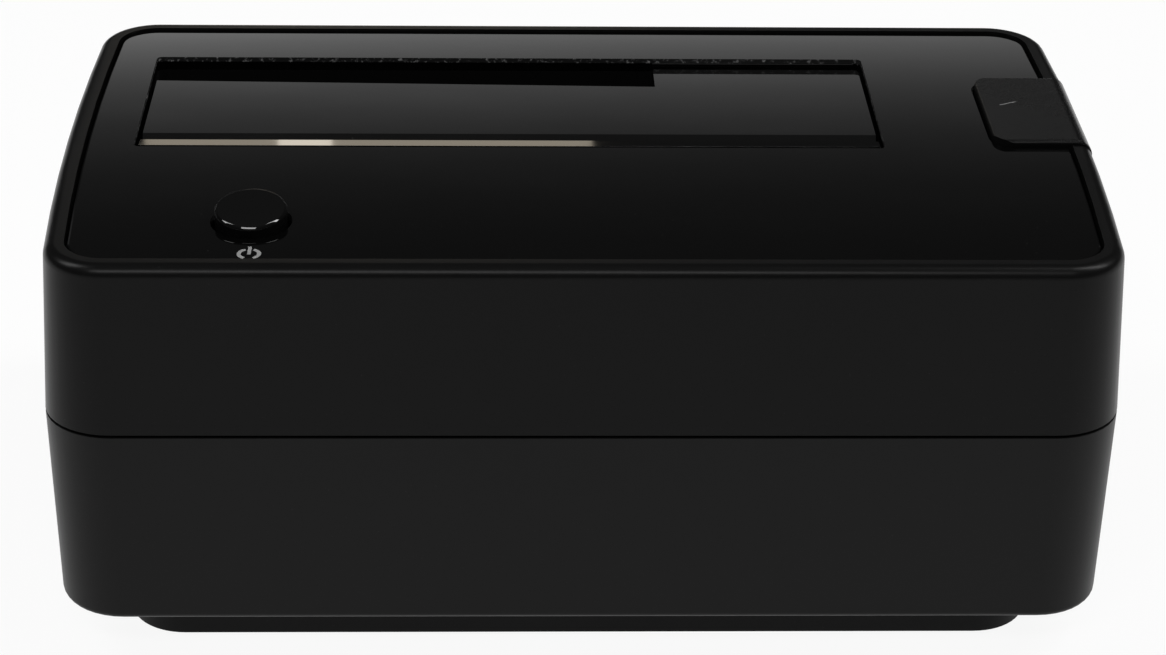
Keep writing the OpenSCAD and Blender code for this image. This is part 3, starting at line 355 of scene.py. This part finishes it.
def edge_group(limit):
    """Geometry nodes that shade smoothly, with the edges over a limit in degrees kept crisp."""
    group = bpy.data.node_groups.new("crisp_edges", "GeometryNodeTree")
    for side in ("INPUT", "OUTPUT"):
        group.interface.new_socket("Geometry", in_out=side, socket_type="NodeSocketGeometry")
    source = group.nodes.new("NodeGroupInput")
    result = group.nodes.new("NodeGroupOutput")
    faces = group.nodes.new("GeometryNodeSetShadeSmooth")
    edges = group.nodes.new("GeometryNodeSetShadeSmooth")
    edges.domain = "EDGE"
    angle = group.nodes.new("GeometryNodeInputMeshEdgeAngle")
    flat = group.nodes.new("FunctionNodeCompare")
    flat.operation = "LESS_THAN"
    flat.inputs[1].default_value = math.radians(limit)
    group.links.new(source.outputs[0], faces.inputs[0])
    group.links.new(faces.outputs[0], edges.inputs[0])
    group.links.new(angle.outputs[0], flat.inputs[0])
    group.links.new(flat.outputs[0], edges.inputs["Shade Smooth"])
    group.links.new(edges.outputs[0], result.inputs[0])
    return group


rounded_forms = edge_group(38.0)
flat_forms = edge_group(10.0)
shading = {
    "top_panel": flat_forms,
    "slot_flap": flat_forms,
    "power_button": edge_group(24.0),
}
edge_rounds = {
    "upper_shell": 0.10 * MM,
    "lower_shell": 0.15 * MM,
    "base_plate": 0.3 * MM,
    "drive_well": 0.15 * MM,
    "slot_flap": 0.08 * MM,
    "power_button": 0.10 * MM,
    "sata_connector": 0.2 * MM,
    "usb_tongue": 0.15 * MM,
    "bridge_chip": 0.15 * MM,
    "lead_plug": 0.2 * MM,
    "power_switch": 0.15 * MM,
    "eject_lever": 0.25 * MM,
}
weld_distance = 0.002 * MM
planar_limit = math.radians(0.4)
round_limit = math.radians(35.0)
round_segments = 2
flat_face_weight = 100


def plain_normals(mesh):
    """Takes off the stored normals, so that the modifiers set them."""
    for name in ("custom_normal", "sharp_edge", "sharp_face"):
        if name in mesh.attributes:
            mesh.attributes.remove(mesh.attributes[name])


def dress(node, material):
    """Gives a node its finish, and clean, soft edges where a table above names it."""
    piece = nodes[node]
    mesh = piece.data
    mesh.materials.clear()
    mesh.materials.append(material)
    if node not in edge_rounds and node not in shading:
        return
    plain_normals(mesh)
    weld = piece.modifiers.new("weld", "WELD")
    weld.merge_threshold = weld_distance
    if node in edge_rounds:
        planar = piece.modifiers.new("planar", "DECIMATE")
        planar.decimate_type = "DISSOLVE"
        planar.angle_limit = planar_limit
        bevel = piece.modifiers.new("edge_round", "BEVEL")
        bevel.width = edge_rounds[node]
        bevel.segments = round_segments
        bevel.limit_method = "ANGLE"
        bevel.angle_limit = round_limit
    smooth = piece.modifiers.new("crisp_edges", "NODES")
    smooth.node_group = shading.get(node, rounded_forms)
    weight = piece.modifiers.new("flat_faces", "WEIGHTED_NORMAL")
    weight.keep_sharp = True
    weight.weight = flat_face_weight


for subpart in frame["record"]["subparts"]:
    dress(subpart["node"], finishes[subpart["material_slot"]])


# New pieces


def add_piece(name, mesh, material):
    """Puts a finished bmesh into the scene as an object, and frees it."""
    data = bpy.data.meshes.new(name)
    mesh.to_mesh(data)
    mesh.free()
    data.materials.append(material)
    piece = bpy.data.objects.new(name, data)
    scene.collection.objects.link(piece)
    return piece


# Smooth copies of the springs


def live_spring(node):
    """A smooth copy of a spring that stands for its node."""
    mesh = bmesh.new()
    mesh.from_mesh(nodes[node].data)
    bmesh.ops.remove_doubles(mesh, verts=mesh.verts, dist=weld_distance)
    for face in mesh.faces:
        face.smooth = True
    piece = add_piece(node + "_wire", mesh, finishes["spring_steel"])
    plain_normals(piece.data)
    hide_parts(node)
    return piece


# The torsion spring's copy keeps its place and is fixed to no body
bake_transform(live_spring("flap_spring"))

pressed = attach(live_spring("eject_spring"), "housing")
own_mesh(pressed)


# Printed signs, and a painted highlight on the eject button

ink_sink = 0.01 * MM
ink_rise = 0.03 * MM
ink_round = 0.016 * MM


def sign_or_painted_highlight(name, outlines, surface, body):
    """A thin raised sign, or a pale painted highlight, on a level surface. Its closed outlines run
    against the clock.
    """
    mesh = bmesh.new()
    for outline in outlines:
        low = [mesh.verts.new((x, y, surface - ink_sink)) for x, y in outline]
        high = [mesh.verts.new((x, y, surface + ink_rise)) for x, y in outline]
        mesh.faces.new(list(reversed(low)))
        mesh.faces.new(high)
        for i in range(len(outline)):
            j = (i + 1) % len(outline)
            mesh.faces.new((low[i], low[j], high[j], high[i]))
    piece = add_piece(name, mesh, sign_ink_and_painted_highlight)
    round_edge = piece.modifiers.new("edge_round", "BEVEL")
    round_edge.width = ink_round
    round_edge.segments = round_segments
    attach(piece, body)


def arc_band(centre, inner, outer, start, end, steps=20):
    """The outline of a stretch of a ring, from one angle in degrees to another."""
    angles = [math.radians(start + (end - start) * i / steps) for i in range(steps + 1)]
    turns = [Vector((math.cos(a), math.sin(a))) for a in angles]
    out = [centre + turn * outer for turn in turns]
    back = [centre + turn * inner for turn in reversed(turns)]
    return out + back


def bar(start, along, width):
    """The outline of a straight stroke."""
    half = along.orthogonal().normalized() * width / 2
    return [start - half, start + along - half, start + along + half, start + half]


button_low, button_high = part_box("power_button")
button_middle = (button_low + button_high).to_2d() / 2
sign = button_middle + Vector((0.43 * MM, -9.5 * MM))
ring_inner = 1.03 * MM
ring_outer = 1.54 * MM
stroke_start = sign + Vector((0.0, -0.125 * MM))
stroke_along = Vector((0.0, 2.15 * MM))
stroke_width = 0.46 * MM
sign_or_painted_highlight(
    "power_mark",
    [
        arc_band(sign, ring_inner, ring_outer, -64.0, 67.0),
        arc_band(sign, ring_inner, ring_outer, 113.0, 244.0),
        bar(stroke_start, stroke_along, stroke_width),
    ],
    panel_top,
    "housing",
)

# Painted highlight: a pale stroke on the eject button that stands in for the lit edge of a raised mark
eject_low, eject_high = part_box("eject_button")
highlight_start = eject_low.to_2d() + Vector((2.5 * MM, 12.35 * MM))
highlight_along = Vector((2.45 * MM, 1.15 * MM))
highlight_width = 0.15 * MM
sign_or_painted_highlight("eject_painted_highlight", [bar(highlight_start, highlight_along, highlight_width)], eject_high.z, "eject_key")


# Stage

floor_radius = 7.0
floor_drop = 0.05 * MM
floor_paint = grey(0.92)
floor_glow = 0.92


def floor_material():
    """Pale paint that takes shadows, under a plain white glow for the camera and for mirrors."""
    material = bpy.data.materials.new("pale_floor")
    tree = Tree(material)
    paint = tree.add("ShaderNodeBsdfDiffuse")
    paint.inputs["Color"].default_value = (*floor_paint, 1.0)
    glow = tree.add("ShaderNodeEmission")
    rays = tree.add("ShaderNodeLightPath").outputs
    mirrored = tree.math("MAXIMUM", rays["Is Glossy Ray"], rays["Is Transmission Ray"])
    seen = tree.math("MAXIMUM", rays["Is Camera Ray"], mirrored)
    glow_share = tree.math("MULTIPLY", seen, floor_glow)
    tree.end_in_mix(glow_share, paint, glow, "ShaderNodeOutputMaterial")
    return material


def make_floor():
    mesh = bmesh.new()
    bmesh.ops.create_circle(mesh, cap_ends=True, segments=96, radius=floor_radius)
    floor = add_piece("floor", mesh, floor_material())
    floor.location.z = -floor_drop


# World, where heights and widths on the wall are slopes as seen from the object

wall_tilt = 0.025
fade_level = 0.41
fade_length = 0.019
fade_light = 0.66
upper_wall_light = 0.0076
wall_foot = (0.355, 0.378)
wall_sides = (0.22, 0.36)
side_wall_share = 0.1
ceiling_rise = (0.5, 0.95)
ceiling_light = (0.02, 0.08)
least_depth = 0.01


def make_world():
    """White to the camera. Elsewhere a wall at the back that fades upwards, and a dim ceiling."""
    world = bpy.data.worlds.new("studio")
    scene.world = world
    tree = Tree(world)
    x, y, z = tree.axes(tree.add("ShaderNodeTexCoord").outputs["Generated"])
    depth = tree.math("MAXIMUM", y, least_depth)
    across = tree.math("DIVIDE", x, depth)
    height = tree.math("DIVIDE", z, depth)
    level = tree.math("ADD", height, tree.math("MULTIPLY", across, wall_tilt))
    below = tree.math("DIVIDE", tree.math("SUBTRACT", fade_level, level), fade_length)
    fade = tree.math("MULTIPLY", tree.math("EXPONENT", below), fade_light)
    wall = tree.math("ADD", fade, upper_wall_light, clamp=True)
    foot = tree.span(height, *wall_foot, curve="SMOOTHSTEP")
    aside = tree.math("ABSOLUTE", across)
    sides = tree.span(aside, *wall_sides, 1.0, side_wall_share, curve="SMOOTHSTEP")
    wall = tree.math("MULTIPLY", tree.math("MULTIPLY", wall, foot), sides)
    ceiling = tree.span(z, *ceiling_rise, *ceiling_light, curve="SMOOTHSTEP")
    studio = tree.add("ShaderNodeBackground")
    tree.join(tree.math("ADD", wall, ceiling), studio.inputs["Color"])
    white = tree.add("ShaderNodeBackground")
    rays = tree.add("ShaderNodeLightPath").outputs
    seen = tree.math("MAXIMUM", rays["Is Camera Ray"], rays["Is Transmission Ray"])
    tree.end_in_mix(seen, studio, white, "ShaderNodeOutputWorld")


# Light

lamp_aim = Vector((0.0, 0.0, 40.0 * MM))
card_tone = (1.0, 0.88, 0.70)
glint_tone = (1.0, 0.92, 0.8)


def softbox(name, azimuth, elevation, distance, size, power, colour=(1.0, 1.0, 1.0)):
    """An area lamp that faces the object. Azimuth 0 is in front, and 90 is to the right."""
    lamp = bpy.data.lights.new(name, "AREA")
    lamp.shape = "RECTANGLE"
    lamp.size = size[0]
    lamp.size_y = size[1]
    lamp.energy = power
    lamp.color = colour
    holder = bpy.data.objects.new(name, lamp)
    turn = math.radians(azimuth)
    lift = math.radians(elevation)
    reach = math.cos(lift)
    back = Vector((math.sin(turn) * reach, -math.cos(turn) * reach, math.sin(lift)))
    holder.location = lamp_aim + back * distance
    holder.rotation_mode = "QUATERNION"
    holder.rotation_quaternion = back.to_track_quat("Z", "Y")
    scene.collection.objects.link(holder)


def make_lights():
    """Three soft boxes over the object, and a low warm card behind it with a brighter strip."""
    softbox("left", -93.0, 49.0, distance=1.3, size=(0.34, 0.60), power=5.7)
    softbox("right", 92.0, 53.0, distance=1.3, size=(0.24, 0.85), power=8.4)
    softbox("centre", -9.0, 49.5, distance=1.3, size=(0.74, 0.26), power=5.2)
    softbox("warm_card", -176.5, 12.3, distance=2.05, size=(0.38, 0.32), power=0.38, colour=card_tone)
    softbox("warm_glint", -174.9, 12.3, distance=2.0, size=(0.045, 0.3), power=0.075, colour=glint_tone)


# Camera, with its lens and sensor in millimetres

camera_place = Vector((-11.01, -359.89, 219.93)) * MM
camera_pitch = math.radians(28.0)
camera_yaw = math.radians(1.88)
camera_roll = math.radians(0.95)
camera_lens = 88.14
camera_sensor = 36.0
camera_reach = (0.01, 30.0)


def make_camera():
    """Looks down by the pitch, to the right by the yaw, and leans by the roll."""
    ahead = Vector((math.sin(camera_yaw), math.cos(camera_yaw), 0.0))
    forward = ahead * math.cos(camera_pitch) - Vector((0.0, 0.0, math.sin(camera_pitch)))
    level = Vector((ahead.y, -ahead.x, 0.0))
    rise = level.cross(forward)
    right = level * math.cos(camera_roll) + rise * math.sin(camera_roll)
    up = rise * math.cos(camera_roll) - level * math.sin(camera_roll)
    data = bpy.data.cameras.new("camera")
    data.sensor_fit = "HORIZONTAL"
    data.sensor_width = camera_sensor
    data.lens = camera_lens
    data.clip_start, data.clip_end = camera_reach
    camera = bpy.data.objects.new("camera", data)
    turn = Matrix((right, up, -forward)).transposed()
    camera.matrix_world = Matrix.Translation(camera_place) @ turn.to_4x4()
    scene.collection.objects.link(camera)
    scene.camera = camera


scene.view_settings.view_transform = "Standard"
make_floor()
make_world()
make_lights()
make_camera()
